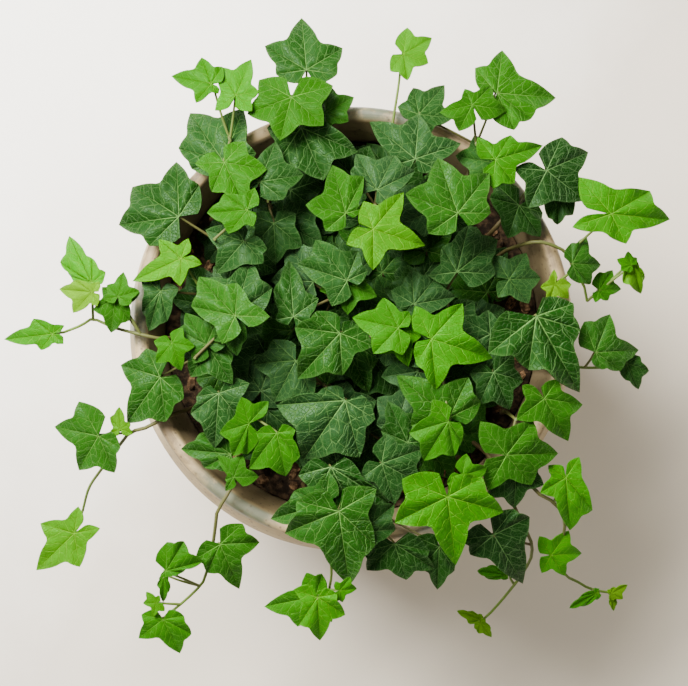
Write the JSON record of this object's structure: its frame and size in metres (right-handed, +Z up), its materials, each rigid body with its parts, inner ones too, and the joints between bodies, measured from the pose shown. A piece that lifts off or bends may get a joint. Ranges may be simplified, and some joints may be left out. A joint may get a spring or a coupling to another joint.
{
  "type": "potted ivy",
  "caption": "Trailing ivy with lobed leaves growing from soil in a round, bellied stoneware pot; leafy runners reach over the lip",
  "frame": {"origin": "middle of the pot's base, on the surface it stands on", "axes": "+Z up; +Y towards the top of the picture; +X towards its right"},
  "size_m": [0.3526, 0.3364, 0.2314],
  "materials": {
    "stoneware": "weathered satin glaze",
    "soil": "rough, moist, with bark pieces",
    "leaf": "semi-gloss, with paler veins"
  },
  "bodies": {
    "root": {"pot": "stoneware", "soil": "soil", "spray_north": "leaf", "spray_north_west": "leaf", "spray_west_upper": "leaf", "spray_upper_middle": "leaf", "spray_north_middle": "leaf", "spray_north_east": "leaf", "spray_long_petiole": "leaf", "spray_east_upper": "leaf", "spray_middle_upper": "leaf", "spray_middle_east": "leaf", "spray_east": "leaf", "spray_middle": "leaf", "spray_middle_lower": "leaf", "spray_middle_south_east": "leaf", "spray_east_lower": "leaf", "spray_south_east_upper": "leaf", "spray_south_east": "leaf", "spray_south_upper": "leaf", "spray_south": "leaf", "spray_middle_south": "leaf", "spray_south_west": "leaf", "spray_west_lower": "leaf", "spray_west": "leaf", "runner_west": "leaf", "runner_south_west": "leaf", "runner_south_west_lower": "leaf", "runner_south": "leaf", "runner_south_east_lower": "leaf", "runner_south_east": "leaf", "runner_east_lower": "leaf", "runner_east": "leaf"}
  },
  "joints": []
}
